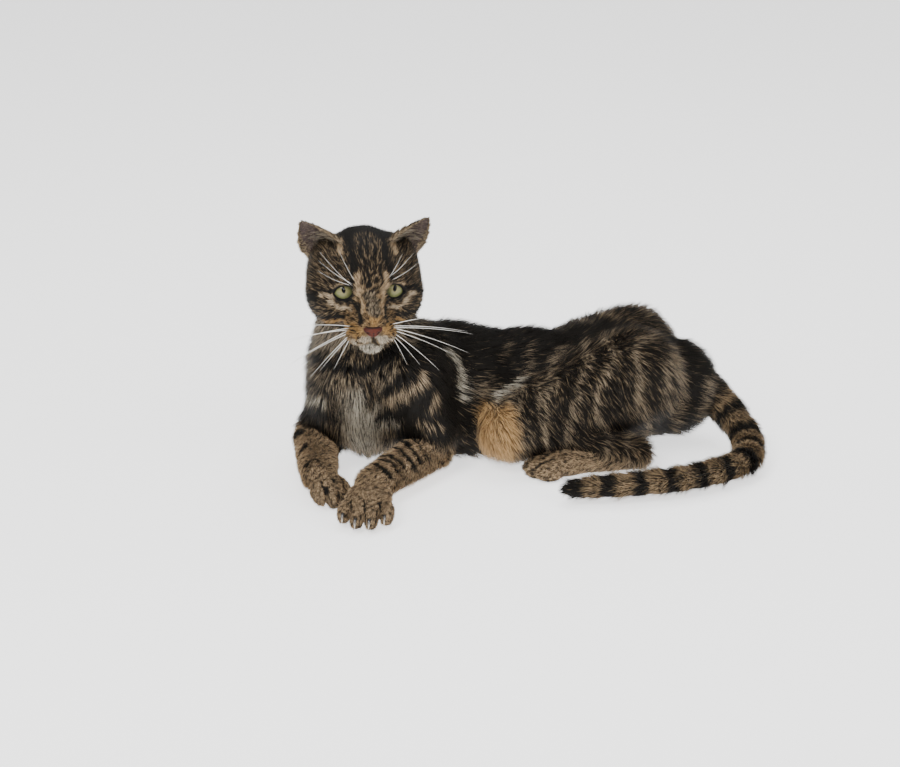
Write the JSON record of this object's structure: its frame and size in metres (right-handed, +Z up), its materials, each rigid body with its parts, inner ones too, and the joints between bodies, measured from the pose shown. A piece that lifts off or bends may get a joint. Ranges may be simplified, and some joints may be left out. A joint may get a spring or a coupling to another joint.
{
  "type": "domestic cat",
  "caption": "Life-size still model of a tabby cat lying on its belly, head up, forelegs out in front and tail curled round one side.",
  "frame": {"origin": "middle of the model's box, on the floor that the cat lies on", "axes": "+X from the head end towards the rump, +Y from the side that the face turns to towards the cat's right side, +Z up"},
  "size_m": [0.3909, 0.2929, 0.2178],
  "materials": {
    "trunk": "short dense fur",
    "neck": "short dense fur",
    "head": "short dense fur",
    "ear_left": "thin fur over skin",
    "ear_right": "thin fur over skin",
    "eye_left": "wet, glossy",
    "eye_right": "wet, glossy",
    "nose": "bare pebbled nose skin",
    "thigh_left": "short dense fur",
    "thigh_right": "short dense fur",
    "foreleg_left": "short dense fur",
    "foreleg_right": "short dense fur",
    "forepaw_left": "short dense fur",
    "forepaw_right": "short dense fur",
    "hindpaw_left": "short dense fur",
    "hindpaw_right": "short dense fur",
    "tail_root": "short dense fur",
    "tail_middle": "short dense fur",
    "tail_tip": "short dense fur",
    "foreclaw_left_1": "polished horn",
    "foreclaw_left_2": "polished horn",
    "foreclaw_left_3": "polished horn",
    "foreclaw_left_4": "polished horn"
  },
  "bodies": {
    "root": {"trunk": "trunk", "neck": "neck", "head": "head", "ear_left": "ear_left", "ear_right": "ear_right", "eye_left": "eye_left", "eye_right": "eye_right", "nose": "nose", "thigh_left": "thigh_left", "thigh_right": "thigh_right", "foreleg_left": "foreleg_left", "foreleg_right": "foreleg_right", "forepaw_left": "forepaw_left", "forepaw_right": "forepaw_right", "hindpaw_left": "hindpaw_left", "hindpaw_right": "hindpaw_right", "tail_root": "tail_root", "tail_middle": "tail_middle", "tail_tip": "tail_tip", "foreclaw_left_1": "foreclaw_left_1", "foreclaw_left_2": "foreclaw_left_2", "foreclaw_left_3": "foreclaw_left_3", "foreclaw_left_4": "foreclaw_left_4"}
  },
  "joints": []
}
